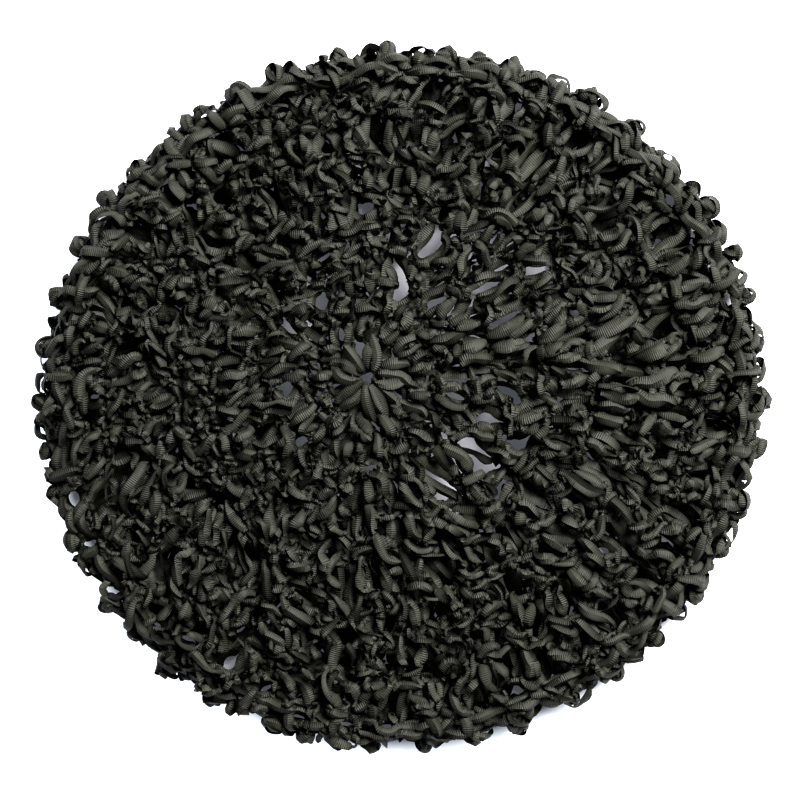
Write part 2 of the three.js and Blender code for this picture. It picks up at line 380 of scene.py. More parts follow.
def stitchPath(course, rough):
    # one stitch of the course, its parts chosen at random where they vary
    if course in innerCourses:
        return np.array(backPath)
    if course.get("star"):
        return np.array(starPath)
    if course.get("open") and rng.random() > roughness["mixed"] * (rough - roughness["mixedFrom"]):
        return np.array(openPath)
    if "plain" in course:
        middle = wrapPath if rng.random() < course["plain"] else barePath
        return np.array(postPath + middle + shortChainPath)
    middle = wrapPath if rng.random() < stitchLook["wrapShare"] else barePath
    waist = waistPath if rng.random() < stitchLook["waistShare"] else []
    return np.array(postPath + waist + middle + chainPath)


def courseSize(course):
    # a column's pitch and the course's height, in mm
    columns, middle = course["columns"], (course["from"] + course["to"]) / 2
    turn = np.arange(columns) / columns * 2 * math.pi
    line = course["place"](np.full(columns, middle), turn, np.zeros(columns))
    low = course["place"](np.full(columns, course["from"]), turn, np.zeros(columns))
    high = course["place"](np.full(columns, course["to"]), turn, np.zeros(columns))
    pitch = np.linalg.norm(line - np.roll(line, 1, 0), axis=1).mean()
    return pitch, np.linalg.norm(high - low, axis=1).mean()


def columnRoughness(course, column):
    # the net lies roughest towards the front left
    if course in innerCourses:
        return roughness["innerCrown"] if course["node"].startswith("crown") else roughness["innerOther"]
    if course.get("star"):
        return roughness["star"]
    away = (column / course["columns"] - roughness["roughestTurn"]) * 2 * math.pi
    return roughness["least"] + roughness["added"] * max(0, math.cos(away))


def courseLoop(course):
    columns, low, high = course["columns"], course["from"], course["to"]
    pitch, height = courseSize(course)
    loose = stitchLook["openLoose"] if course.get("open") else 1
    rows = []
    for column in range(columns):
        rough = columnRoughness(course, column)
        path = stitchPath(course, rough)
        path += rng.normal(0, 1, path.shape) * stitchLook["jitter"] * rough * loose
        path[:, 1] = 0.5 + (path[:, 1] - 0.5) * (1 + rng.normal(0, stitchLook["tall"] * rough))
        path[:, 1] += rng.normal(0, stitchLook["slide"] * rough)
        spin = rng.normal(stitchLook["spinMean"], stitchLook["spin"]) * rough
        flat = np.stack([path[:, 0] * pitch, (path[:, 1] - 0.5) * height], -1)
        flat = turned(flat, spin)
        path[:, 0] = flat[:, 0] / pitch + rng.normal(0, stitchLook["drift"] * rough) + column
        path[:, 1] = flat[:, 1] / height + 0.5
        rows.append(path)
    points = np.vstack(rows)
    turn = points[:, 0] / columns * 2 * math.pi
    share = low + points[:, 1] * (high - low)
    return laidLoop(points, course["place"], turn, share)


# Knobs of wound ribbon that stand out along the rim
knobs = {
    "node": "rim_round_upper", "count": 42, "wide": 3.7,
    "radius": 3.0, "uneven": 0.6,  # of the winding, in mm
    "sizes": (0.75, 1.1), "squash": 0.12,  # times the radius, from knob to knob
    "start": 0.4, "drift": 0.12,  # along the rim, as shares of their spacing
    "share": 0.44, "shareDrift": 0.07, "out": 1.7, "outDrift": 0.6,  # round the fold, and in mm
    "turns": 4, "wobble": 1.3, "points": 96, "flat": 0.95,
}


def knobLoop(index):
    # crossed turns of ribbon, closed on themselves, round a middle
    turn = (index + knobs["start"] + rng.normal(0, knobs["drift"])) / knobs["count"] * 2 * math.pi
    share = np.array([knobs["share"] + rng.normal(0, knobs["shareDrift"])])
    out = np.full(1, knobs["out"] + rng.normal(0, knobs["outDrift"]))
    middle = foldPlace(share, np.array([turn]), out)[0]
    axes = np.linalg.qr(rng.normal(0, 1, (3, 3)))[0]
    t = np.arange(knobs["points"]) / knobs["points"] * 2 * math.pi
    wound = knobs["turns"] * t
    tip = knobs["wobble"] * np.sin(t + rng.uniform(0, 6))
    way = np.stack([np.cos(wound), np.sin(wound) * np.cos(tip), np.sin(wound) * np.sin(tip)], -1) @ axes
    size = knobs["radius"] * rng.uniform(*knobs["sizes"])
    squash = 1 + rng.normal(0, knobs["squash"], 3)
    line = middle + way * (size + knobs["uneven"] * np.cos(t + math.pi / 4))[:, None] * squash
    rows = np.hstack([line, way, np.full((len(t), 1), knobs["flat"])])
    return evenLoop(rows, stitchLook["strandStep"])


# Strands that run along the rim from stitch to stitch: node, share of the way round the fold and out in mm
rimStrands = [
    ("rim_round_upper", 0.05, 1.2), ("rim_round_upper", 0.2, 1.0), ("rim_round_upper", 0.4, -0.4),
    ("rim_round_lower", 0.58, -0.4), ("rim_round_lower", 0.76, 0.5),
]


rimStrandLook = {
    "points": 264, "wide": 4.4, "flat": 0.85,
    "sway": [(0.03, 22), (0.03, 31)],  # shares of the fold, and waves round the rim
    "weave": [(1.2, 44), (0.5, 17)],  # in and out in mm, and waves round the rim
    "topShare": 0.3, "topWeave": 1.9,  # on the rim's upper side they dip deeper between the stitches
}


def wavesRound(waves, turn):
    return sum(size * np.sin(count * turn + rng.uniform(0, 6)) for size, count in waves)


def rimStrandLoop(share, out):
    turn = np.arange(rimStrandLook["points"]) / rimStrandLook["points"] * 2 * math.pi
    sway = wavesRound(rimStrandLook["sway"], turn)
    weave = wavesRound(rimStrandLook["weave"], turn)
    if share < rimStrandLook["topShare"]:
        weave *= rimStrandLook["topWeave"]
    points = np.stack([turn, share + sway, out + weave, np.full_like(turn, rimStrandLook["flat"])], -1)
    return laidLoop(points, foldPlace, turn, points[:, 1])


centreRing = {
    "node": "centre_ring", "wide": 3.2, "flat": 0.9, "turns": 2, "points": 60,
    "radius": 3.4, "roll": 0.8,  # of the turns, in mm, and how far in and out of it they lie
    "sink": 1.2, "bob": 0.6,  # under the crown's middle, and up and down
}


def ringLoop():
    # turns of ribbon round the hole at the crown's centre
    turn = np.arange(centreRing["points"]) / centreRing["points"] * 2 * math.pi * centreRing["turns"]
    out = centreRing["bob"] * np.sin(turn / 2) - centreRing["sink"]
    radius = centreRing["radius"] + centreRing["roll"] * np.cos(turn / 2)
    seat = crownPlace(np.zeros(1), np.zeros(1), np.zeros(1))[0, 2]
    flat = netForm["centre"] + np.stack([np.cos(turn), np.sin(turn)], -1) * radius[:, None]
    facing = np.tile([0.0, 0.0, 1.0, centreRing["flat"]], (len(turn), 1))
    rows = np.hstack([flat, (seat + out)[:, None], facing])
    return evenLoop(rows, stitchLook["strandStep"])


# The joining seam, right of the centre: petals of flatter ribbon, each with its root and tip in mm
seamPetals = [
    {"node": "crown_round_2", "root": (9.5, 19.3), "tip": (22.5, 23.2), "wide": 4.4},
    {"node": "crown_round_2", "root": (19.2, 16.4), "tip": (30.4, 20.0), "wide": 4.4},
    {"node": "crown_round_3", "root": (30.8, 22.1), "tip": (43.0, 29.0), "wide": 4.6},
    {"node": "crown_round_3", "root": (31.5, 17.1), "tip": (43.7, 20.7), "wide": 4.6},
    {"node": "crown_round_4", "root": (48.0, 20.3), "tip": (60.3, 27.5), "wide": 4.6},
    {"node": "crown_round_4", "root": (47.0, 16.4), "tip": (59.2, 18.5), "wide": 4.6},
    {"node": "crown_round_5", "root": (67.1, 21.8), "tip": (83.7, 30.9), "wide": 5.2},
    {"node": "crown_round_5", "root": (61.0, 16.0), "tip": (77.5, 21.4), "wide": 5.2},
    {"node": "crown_round_5", "root": (61.7, 13.7), "tip": (79.0, 9.3), "wide": 5.2},
    {"node": "crown_round_6", "root": (83.3, 13.9), "tip": (97.5, 20.7), "wide": 5.0},
    {"node": "crown_round_6", "root": (80.8, 4.3), "tip": (98.4, 10.3), "wide": 5.2},
    {"node": "crown_round_6", "root": (81.5, 2.5), "tip": (97.9, -2.0), "wide": 5.2},
    {"node": "crown_round_7", "root": (100.2, 26.1), "tip": (111.8, 32.2), "wide": 4.6},
    {"node": "crown_round_7", "root": (102.4, 14.2), "tip": (114.9, 17.1), "wide": 4.6},
]
petalPath = [  # along and beside are shares of the petal's length, out in mm
    (0.00, 0.00, 0.6, 0.55),
    (0.16, -0.04, 3.6, 0.85),
    (0.42, -0.06, 5.0, 1.1),
    (0.72, -0.03, 4.2, 1.0),
    (0.97, 0.00, 1.2, 0.55),
    (0.92, 0.03, -1.6, 0.5),
    (0.50, 0.05, -2.6, 0.7),
    (0.08, 0.03, -1.8, 0.5),
]
petalJitter = (0.02, 0.02, 0.2)  # of along, beside and out


def petalLoop(petal):
    root, tip = np.array(petal["root"]), np.array(petal["tip"])
    path = np.array(petalPath)
    path[:, :3] += rng.normal(0, 1, (len(path), 3)) * petalJitter
    way = tip - root
    side = np.array([-way[1], way[0]])
    flat = root + path[:, :1] * way + path[:, 1:2] * side
    share = np.linalg.norm(flat - netForm["centre"], axis=1) / netForm["length"] * 2
    height = crownHeight(share) + path[:, 2]
    facing = np.tile([0.0, 0.0, 1.0], (len(path), 1))
    rows = np.hstack([flat, height[:, None], facing, path[:, 3:4]])
    return evenLoop(smoothLoop(rows, stitchLook["spanPoints"]), stitchLook["strandStep"])


def nearPairs(points, reach):
    # every pair of points closer than reach, found cell by cell
    cell = np.floor(points / reach).astype(np.int64)
    cell -= cell.min(0) - 1
    size = cell.max(0) + 2
    key = (cell[:, 0] * size[1] + cell[:, 1]) * size[2] + cell[:, 2]
    order = np.argsort(key, kind="stable")
    sortedKey = key[order]
    pairs = []
    for dx in (-1, 0, 1):
        for dy in (-1, 0, 1):
            for dz in (-1, 0, 1):
                wanted = key + (dx * size[1] + dy) * size[2] + dz
                start = np.searchsorted(sortedKey, wanted, "left")
                count = np.searchsorted(sortedKey, wanted, "right") - start
                first = np.repeat(np.arange(len(points)), count)
                offset = np.arange(count.sum()) - np.repeat(np.cumsum(count) - count, count)
                second = order[np.repeat(start, count) + offset]
                keep = first < second
                pairs.append(np.stack([first[keep], second[keep]], -1))
    pairs = np.vstack(pairs)
    gap = np.linalg.norm(points[pairs[:, 0]] - points[pairs[:, 1]], axis=1)
    return pairs[gap < reach]


def scatter(values, index, count):
    return np.stack([np.bincount(index, values[:, k], count) for k in range(values.shape[1])], -1)


settle = {
    "rounds": 8, "steps": 6, "stretchSteps": 2,
    "beside": 2.7, "over": 1.15,  # mm that the flat ribbons keep beside each other, and one over another
    "reach": 1.25,  # times that, in which pairs are looked for
    "own": 3,  # points along its own strand that a point takes no notice of
    "push": 0.4, "longest": 0.4,  # share of an overlap that is mended in a step, and the longest move in mm
    "soften": 0.06, "stretch": 0.25,  # how much a bend straightens, and a stretched strand draws in
    "parting": 0.35, "eyeletClear": 0.6,  # pace out of a wide gap, and mm that it is held wider all round
    "floor": 1.1,  # lowest height of a ribbon's middle
}

# The widest gaps of the net, over the floor or a dark pit: place, length, width in mm and turn in degrees
eyelets = [
    (-11.9, 7.2, 4, 4, 0), (-0.3, 37.7, 10, 5.5, 35), (12.5, 34.7, 10, 4.5, 8),
    (29.9, 39.7, 13, 5.5, 15), (36.9, 28.3, 13, 5.5, 22), (19.1, 0.3, 8.5, 5, -25),
    (30.7, -6.5, 7.5, 6, -20), (38.5, 2.5, 13, 4.5, -25), (23.6, -15.9, 9, 6, 20),
    (10.6, 53.5, 12, 7.5, 30), (48.4, 45.3, 11, 5.5, 20), (62.9, 29.6, 5, 3.5, 30),
    (55.4, 32.6, 9, 3, 35), (-10.8, -24.9, 7, 5, 20), (-28.7, 34.1, 6.5, 8.5, 10),
    (-41.1, 3.1, 6, 8.5, 0), (-36.1, -15.7, 7, 5.5, 0), (-27.6, 50.6, 9, 5, 30),
    (-12.7, 68.1, 9, 6, 20), (41.9, -17.4, 8, 6.5, 0), (-21.6, 23.1, 5, 7, 0), (-118.1, -36.4, 7, 8, 0),
    (-112.1, -52.4, 7, 5, 20), (-104.1, -69.4, 8, 4, -10), (-77.1, -86.9, 9, 4.5, -30),
    (-61.6, -95.4, 7, 8, 20), (-49.1, -104.4, 6.5, 5, 20), (-36.6, -114.9, 7, 4, -20),
    (-20.1, -117.4, 7, 4.5, 0), (-5.1, -118.4, 6, 4.5, 0), (-57.6, -83.4, 5.5, 4, 20),
    (41.9, -104.9, 7, 5, -20), (72.9, -54.9, 6, 5, 0), (117.9, 35.1, 5, 7, 0), (96.9, 71.1, 5, 6, 20),
    (77.9, 107.1, 7, 4, -30), (-110.1, 0.1, 6, 5, 0),
]


def partEyelets(points):
    # strands that cross one of the widest gaps, as the camera sees it, move to its edge
    for x, y, length, width, degrees in eyelets:
        lift = 1 - (points[:, 2:3] - viewpoint["aim"]) / viewpoint["height"]
        local = turned(points[:, :2] - np.array([x, y]) * lift, -math.radians(degrees))
        radii = np.array([length, width]) / 2 + settle["eyeletClear"]
        depth = np.linalg.norm(local / radii, axis=1, keepdims=True)
        outward = local / np.maximum(depth, 0.05) - local
        inside = depth[:, 0] < 1
        move = turned(outward, math.radians(degrees)) * settle["parting"]
        points[inside, :2] += move[inside]


def settleStrands(loops, holds):
    # the strands push each other apart, keep their length and stay near their places
    sizes = np.array([len(loop) for loop in loops])
    starts = np.cumsum(sizes) - sizes
    rows = np.vstack(loops)
    points, facing = rows[:, :3].copy(), rows[:, 3:6]
    home = points.copy()
    following = np.arange(len(points)) + 1
    following[starts + sizes - 1] = starts
    preceding = np.empty_like(following)
    preceding[following] = np.arange(len(points))
    loopOf = np.repeat(np.arange(len(sizes)), sizes)
    hold = np.repeat(holds, sizes)[:, None]
    rest = np.linalg.norm(points[following] - points, axis=1)
    steep = settle["beside"] / settle["over"]
    for _ in range(settle["rounds"]):
        pairs = nearPairs(points, settle["beside"] * settle["reach"])
        same = loopOf[pairs[:, 0]] == loopOf[pairs[:, 1]]
        along = np.abs(pairs[:, 0] - pairs[:, 1])
        along = np.minimum(along, sizes[loopOf[pairs[:, 0]]] - along)
        pairs = pairs[~same | (along > settle["own"])]
        first, second = pairs[:, 0], pairs[:, 1]
        upward = unit(facing[first] + facing[second] + 1e-6)
        for _ in range(settle["steps"]):
            between = points[second] - points[first]
            over = dots(between, upward)
            beside = between - over * upward
            way = beside + over * upward * steep**2
            spacing = np.sqrt(dots(beside, beside) + (over * steep) ** 2)
            short = np.maximum(settle["beside"] - spacing, 0)
            shove = way * (short * spacing / np.maximum(dots(way, way), 1e-4) * settle["push"] * 0.5)
            moved = scatter(shove, second, len(points)) - scatter(shove, first, len(points))
            length = np.maximum(np.linalg.norm(moved, axis=1, keepdims=True), 1e-9)
            points += moved * np.minimum(1, settle["longest"] / length)
            points += ((points[following] + points[preceding]) / 2 - points) * settle["soften"]
            for _ in range(settle["stretchSteps"]):
                between = points[following] - points
                gap = np.maximum(np.linalg.norm(between, axis=1), 1e-6)
                pull = between * ((gap - rest) / gap * settle["stretch"])[:, None]
                points += pull - pull[preceding]
            points += (home - points) * hold
            partEyelets(points)
            points[:, 2] = np.maximum(points[:, 2], settle["floor"])
    rows = np.hstack([points, rows[:, 3:]])
    return [rows[s:s + n] for s, n in zip(starts, sizes)]


ribbonLook = {
    "fineStep": 0.32,  # mm between the points that the flat is worked out at
    "spanPoints": 6,  # points in a span of the smooth curve
    "flat": (0.35, 1.15),  # least and most share of the ribbon's width that lies spread
    "thick": 0.45, "thicker": 0.5, "flattest": 1.1,  # mm, and how much more where the ribbon is gathered
    "tightBend": 0.5, "scrunched": 0.6,  # 1 / mm, and the share of the width left at such a bend
    "faceUp": 0.1,  # pull of the flat towards the net's outside, against the bend's
    "lineCalm": 0.35, "bendCalm": 0.4, "calm": 1.1,  # mm over which the line, bend and flat are evened out
    "widthCalm": 0.8, "stepCalm": 0.6,
    "tilt": 0.6, "tiltLength": 5,  # random roll of the flat, in radians, and its length in mm
    "cup": 0.95,  # mm that the flat folds along its middle
    "cupMean": 0.7, "cupVaried": 0.6,  # shares of that, on average and from fold to fold
    "cupLength": 5, "ridge": 0.45,  # mm between the folds, and the share of a fold that its middle rises
    "shortStep": 0.55, "longStep": 1.9, "stepPerBend": 0.32,  # between sections, in mm
    "section": [(1, 0), (0.1, 0.5), (-1, 0), (-0.1, -0.5)],  # half widths and thicknesses
    "lowest": 0.05,  # mm over the floor
}


def smoothed(values, spread):
    # evened out along a closed loop, over spread in mm
    waves = np.fft.rfft(values, axis=0)
    pace = np.fft.rfftfreq(len(values), d=ribbonLook["fineStep"])
    calm = np.exp(-2 * (math.pi * pace * spread) ** 2)
    return np.fft.irfft(waves * calm.reshape(-1, *[1] * (values.ndim - 1)), len(values), axis=0)


def waver(count, spread):
    noise = smoothed(rng.normal(0, 1, count), spread)
    return noise / noise.std()


def ribbonSections(loop, wide, rollShare):
    # the loop's sections: middle, normal, way across, half width, thickness, curl, bend and length along
    fine = evenLoop(smoothLoop(loop, ribbonLook["spanPoints"]), ribbonLook["fineStep"])
    line = smoothed(fine[:, :3], ribbonLook["lineCalm"])
    facing = unit(fine[:, 3:6])
    flat = np.clip(fine[:, 6], *ribbonLook["flat"])
    tangent = unit(np.roll(line, -1, 0) - np.roll(line, 1, 0))
    bend = (np.roll(line, -1, 0) + np.roll(line, 1, 0) - 2 * line) / ribbonLook["fineStep"] ** 2
    bend = smoothed(bend, ribbonLook["bendCalm"])
    pull = bend[:, :, None] * bend[:, None, :]
    pull = pull + ribbonLook["faceUp"] * facing[:, :, None] * facing[:, None, :]
    pull = smoothed(pull, ribbonLook["calm"])
    clear = np.eye(3) - tangent[:, :, None] * tangent[:, None, :]
    normal = np.linalg.eigh(clear @ pull @ clear)[1][:, :, 2]
    signs = np.sign(np.sum(normal[1:] * normal[:-1], -1))
    signs[signs == 0] = 1
    normal[1:] *= np.cumprod(signs)[:, None]
    flipped = np.sum(normal[0] * normal[-1]) < 0
    roll = (waver(len(line), ribbonLook["tiltLength"]) * ribbonLook["tilt"] * rollShare)[:, None]
    normal = unit(normal * np.cos(roll) + np.cross(tangent, normal) * np.sin(roll))
    sideways = np.cross(tangent, normal)
    tightness = np.clip(np.linalg.norm(bend, axis=1) / ribbonLook["tightBend"], 0, 1)
    turning = np.clip(np.abs(np.sum(bend * sideways, -1)) / ribbonLook["tightBend"], 0, 1)
    turning = smoothed(turning, ribbonLook["widthCalm"])
    half = wide / 2 * flat * (1 - (1 - ribbonLook["scrunched"]) * turning)
    thick = ribbonLook["thick"] * (1 + ribbonLook["thicker"] * (ribbonLook["flattest"] - flat))
    # folded along its middle, mostly with the ridge outward
    outward = np.clip(np.sum(normal * facing, -1) * 2, -1, 1)
    folds = ribbonLook["cupMean"] + ribbonLook["cupVaried"] * waver(len(line), ribbonLook["cupLength"])
    curl = ribbonLook["cup"] * outward * folds * flat
    sharp = np.linalg.norm(bend, axis=1)
    step = np.clip(ribbonLook["stepPerBend"] / np.maximum(sharp, 1e-3),
                   ribbonLook["shortStep"], ribbonLook["longStep"])
    step = smoothed(step, ribbonLook["stepCalm"])
    travel = np.cumsum(ribbonLook["fineStep"] / step)
    travel = travel * round(travel[-1]) / travel[-1]
    chosen = np.flatnonzero(np.diff(np.floor(travel - travel[0] + 1e-6), prepend=-1) > 0)
    along = chosen * ribbonLook["fineStep"]
    columns = [line, normal, sideways, half[:, None], thick[:, None], curl[:, None], tightness[:, None]]
    return np.hstack(columns)[chosen], along, len(line) * ribbonLook["fineStep"], flipped


def ribbonTube(loop, wide, rollShare):
    sections, along, total, flipped = ribbonSections(loop, wide, rollShare)
    line, normal, sideways = sections[:, None, :3], sections[:, None, 3:6], sections[:, None, 6:9]
    half, thick, curl = (sections[:, k, None, None] for k in (9, 10, 11))
    outline = np.array(ribbonLook["section"])
    sides, count = len(outline), len(line)
    across, over = outline[None, :, :1], outline[None, :, 1:]
    folded = curl * (ribbonLook["ridge"] - np.abs(across))
    rings = line + sideways * across * half + normal * (over * thick + folded)
    rings[..., 2] = np.maximum(rings[..., 2], ribbonLook["lowest"])
    here = np.arange(count)[:, None] * sides + np.arange(sides)[None]
    ahead = np.roll(here, -1, 0)
    if flipped:
        ahead[-1] = np.roll(here[0], sides // 2)
    quads = np.stack([here, ahead, np.roll(ahead, -1, 1), np.roll(here, -1, 1)], -1).reshape(-1, 4)
    alongHere = along[:, None] + np.zeros((1, sides))
    alongNext = np.append(along[1:], total)[:, None] + np.zeros((1, sides))
    girth = np.arange(sides)[None] / sides + np.zeros((count, 1))
    girthNext = girth + 1 / sides
    uv = np.stack([
        np.stack([alongHere, girth], -1), np.stack([alongNext, girth], -1),
        np.stack([alongNext, girthNext], -1), np.stack([alongHere, girthNext], -1),
    ], 2).reshape(-1, 2)
    return rings.reshape(-1, 3), quads, uv, np.repeat(sections[:, 12], sides)


def joinedMesh(name, tubes):
    # one mesh of all the tubes, with the map along the ribbon and the bend of each point
    vertices, quads, uvs, bends, base = [], [], [], [], 0
    for points, faces, uv, bend in tubes:
        vertices.append(points * mm)
        quads.append(faces + base)
        uvs.append(uv)
        bends.append(bend)
        base += len(points)
    vertices, quads = np.vstack(vertices), np.vstack(quads)
    mesh = bpy.data.meshes.new(name)
    mesh.vertices.add(len(vertices))
    mesh.vertices.foreach_set("co", vertices.astype(np.float32).ravel())
    mesh.loops.add(quads.size)
    mesh.loops.foreach_set("vertex_index", quads.astype(np.int32).ravel())
    mesh.polygons.add(len(quads))
    mesh.polygons.foreach_set("loop_start", np.arange(0, quads.size, 4, dtype=np.int32))
    mesh.update(calc_edges=True)
    ribbonMap = mesh.uv_layers.new(name="ribbonMap")
    ribbonMap.data.foreach_set("uv", np.vstack(uvs).astype(np.float32).ravel())
    bend = mesh.attributes.new("bend", "FLOAT", "POINT")
    bend.data.foreach_set("value", np.concatenate(bends).astype(np.float32))
    mesh.polygons.foreach_set("use_smooth", np.ones(len(quads), dtype=bool))
    # the ribbon's borders and the crease along its middle stay crisp
    ends = np.empty(len(mesh.edges) * 2, dtype=np.int32)
    mesh.edges.foreach_get("vertices", ends)
    ends = ends.reshape(-1, 2) % len(ribbonLook["section"])
    mesh.edges.foreach_set("use_edge_sharp", ends[:, 0] == ends[:, 1])
    mesh.validate()
    piece = bpy.data.objects.new(name, mesh)
    bpy.context.scene.collection.objects.link(piece)
    return piece


# Materials: one ribbon in three tones, for the crown, the rim and the underside; the underside's darker tone
# is painted shade
ribbonFinish = {
    "pitch": 0.74, "sharpness": 1.5,  # of the cross-ribs, the pitch in mm
    # the dark tone is painted shade, mixed into the ribs' grooves and along the ribbon's borders
    "groove": (0.010, 0.010, 0.008, 1),
    "borderSharpness": 6, "borderDark": 0.6,  # of the painted shade along the ribbon's borders
    "bendDepth": 0.25,  # how much stronger the painted shade in the grooves is where the ribbon bends
    "grooveNoiseScale": 1300, "grooveNoiseDetail": 2,  # of the noise that makes the painted groove shade uneven
    "patchScale": 180, "patchDetail": 3, "patchDepth": (3.2, -0.8),  # of larger patches where the ribs' painted groove shade shows and where it doesn't
    "patchFrom": 0.3, "patchTo": 0.7, "patchTone": (0.62, 0.62, 0.6, 1),
    "roughness": 0.55, "specular": 0.25, "bump": 0.6, "ribHeight": 0.22 * mm,
}
ribbonCrests = {
    "ribbon_crown": (0.076, 0.078, 0.068, 1),
    "ribbon_rim": (0.075, 0.077, 0.067, 1),
    # darker than the crown's: painted shade on the net's underside
    "ribbon_underside": (0.068, 0.070, 0.060, 1),
}


def newGroup(name, inputs, outputs):
    group = bpy.data.node_groups.new(name, "ShaderNodeTree")
    for label, value in inputs.items():
        socket = group.interface.new_socket(name=label, in_out="INPUT", socket_type="NodeSocketFloat")
        socket.default_value = value
    for label in outputs:
        group.interface.new_socket(name=label, in_out="OUTPUT", socket_type="NodeSocketFloat")
    return group, group.nodes.new("NodeGroupInput"), group.nodes.new("NodeGroupOutput")


def mathNode(tree, operation, first, second=None, third=None):
    node = tree.nodes.new("ShaderNodeMath")
    node.operation = operation
    for socket, value in zip(node.inputs, (first, second, third)):
        if value is None:
            continue
        if isinstance(value, (int, float)):
            socket.default_value = value
        else:
            tree.links.new(value, socket)
    return node.outputs[0]


def ribsGroup():
    # cross-ribs of the ribbon, 1 on a rib's crest and 0 in the groove, and a mask along its borders, which
    # the material uses for painted shade
    inputs = {"Along": 0, "Girth": 0, "Pitch": ribbonFinish["pitch"], "Sharpness": ribbonFinish["sharpness"]}
    group, source, out = newGroup("ribbonRibs", inputs, ["Rib", "Groove", "Border"])
    phase = mathNode(group, "DIVIDE", source.outputs["Along"], source.outputs["Pitch"])
    wave = mathNode(group, "SINE", mathNode(group, "MULTIPLY", phase, 2 * math.pi))
    crest = mathNode(group, "MULTIPLY_ADD", wave, 0.5, 0.5)
    crest = mathNode(group, "POWER", crest, source.outputs["Sharpness"])
    group.links.new(crest, out.inputs["Rib"])
    group.links.new(mathNode(group, "SUBTRACT", 1, crest), out.inputs["Groove"])
    side = mathNode(group, "COSINE", mathNode(group, "MULTIPLY", source.outputs["Girth"], 2 * math.pi))
    border = mathNode(group, "POWER", mathNode(group, "ABSOLUTE", side), ribbonFinish["borderSharpness"])
    group.links.new(border, out.inputs["Border"])
    return group


def mixColour(tree, blend, factor, first, second):
    node = tree.nodes.new("ShaderNodeMix")
    node.data_type = "RGBA"
    node.blend_type = blend
    for label, value in (("Factor", factor), ("A", first), ("B", second)):
        if isinstance(value, (int, float, tuple)):
            node.inputs[label].default_value = value
        else:
            tree.links.new(value, node.inputs[label])
    return node.outputs["Result"]


def noiseNode(tree, coords, scale, detail):
    node = tree.nodes.new("ShaderNodeTexNoise")
    node.inputs["Scale"].default_value = scale
    node.inputs["Detail"].default_value = detail
    tree.links.new(coords.outputs["Object"], node.inputs["Vector"])
    return node.outputs["Fac"]


def ribbonMaterial(name, crest):
    material = bpy.data.materials.new(name)
    material.use_nodes = True
    tree = material.node_tree
    tree.nodes.clear()
    out = tree.nodes.new("ShaderNodeOutputMaterial")
    shader = tree.nodes.new("ShaderNodeBsdfPrincipled")
    tree.links.new(shader.outputs[0], out.inputs[0])
    uvMap = tree.nodes.new("ShaderNodeUVMap")
    uvMap.uv_map = "ribbonMap"
    parts = tree.nodes.new("ShaderNodeSeparateXYZ")
    tree.links.new(uvMap.outputs[0], parts.inputs[0])
    ribs = tree.nodes.new("ShaderNodeGroup")
    ribs.node_tree = ribGroup
    ribs.inputs["Pitch"].default_value = ribbonFinish["pitch"]
    ribs.inputs["Sharpness"].default_value = ribbonFinish["sharpness"]
    tree.links.new(parts.outputs["X"], ribs.inputs["Along"])
    tree.links.new(parts.outputs["Y"], ribs.inputs["Girth"])
    bend = tree.nodes.new("ShaderNodeAttribute")
    bend.attribute_name = "bend"
    coords = tree.nodes.new("ShaderNodeTexCoord")
    patches = noiseNode(tree, coords, ribbonFinish["patchScale"], ribbonFinish["patchDetail"])
    grooveNoise = noiseNode(tree, coords, ribbonFinish["grooveNoiseScale"], ribbonFinish["grooveNoiseDetail"])
    # painted shade in the grooves, stronger where the ribbon bends, and uneven
    depth = mathNode(tree, "MULTIPLY_ADD", bend.outputs["Fac"], ribbonFinish["bendDepth"], grooveNoise)
    patchy = mathNode(tree, "MULTIPLY_ADD", patches, *ribbonFinish["patchDepth"])
    depth = mathNode(tree, "MULTIPLY", depth, patchy)
    # painted shade in the ribs' grooves
    dark = mathNode(tree, "MULTIPLY", ribs.outputs["Groove"], depth)
    shade = mixColour(tree, "MIX", dark, crest, ribbonFinish["groove"])
    # painted shade along the ribbon's borders, in the grooves' dark tone
    border = mathNode(tree, "MULTIPLY", ribs.outputs["Border"], ribbonFinish["borderDark"])
    shade = mixColour(tree, "MIX", border, shade, ribbonFinish["groove"])
    ramp = tree.nodes.new("ShaderNodeValToRGB")
    darkest, lightest = ramp.color_ramp.elements
    darkest.position = ribbonFinish["patchFrom"]
    darkest.color = ribbonFinish["patchTone"]
    lightest.position = ribbonFinish["patchTo"]
    lightest.color = (1, 1, 1, 1)
    tree.links.new(patches, ramp.inputs["Fac"])
    shade = mixColour(tree, "MULTIPLY", 1.0, shade, ramp.outputs["Color"])
    tree.links.new(shade, shader.inputs["Base Color"])
    shader.inputs["Roughness"].default_value = ribbonFinish["roughness"]
    shader.inputs["Specular IOR Level"].default_value = ribbonFinish["specular"]
    bump = tree.nodes.new("ShaderNodeBump")
    bump.inputs["Strength"].default_value = ribbonFinish["bump"]
    bump.inputs["Distance"].default_value = ribbonFinish["ribHeight"]
    tree.links.new(ribs.outputs["Rib"], bump.inputs["Height"])
    tree.links.new(bump.outputs[0], shader.inputs["Normal"])
    return material


ribGroup = ribsGroup()
ribbonMaterials = {slot: ribbonMaterial(slot, crest) for slot, crest in ribbonCrests.items()}
slotOf = {row["node"]: row["material_slot"] for row in frame["record"]["subparts"]}
print("materials ready")

# How firmly each kind of ribbon holds its place while the net settles, and how freely its flat rolls
ribbonKinds = {
    "course": (0.05, 1), "star": (0.05, 0.3), "ring": (0.2, 1),
    "petal": (0.4, 0.4), "rimStrand": (0.15, 0.5), "knob": (0.3, 0.3),
}
ribbons = []


def addRibbon(kind, node, wide, loop):
    hold, roll = ribbonKinds[kind]
    ribbons.append({"node": node, "wide": wide, "hold": hold, "roll": roll, "loop": loop})


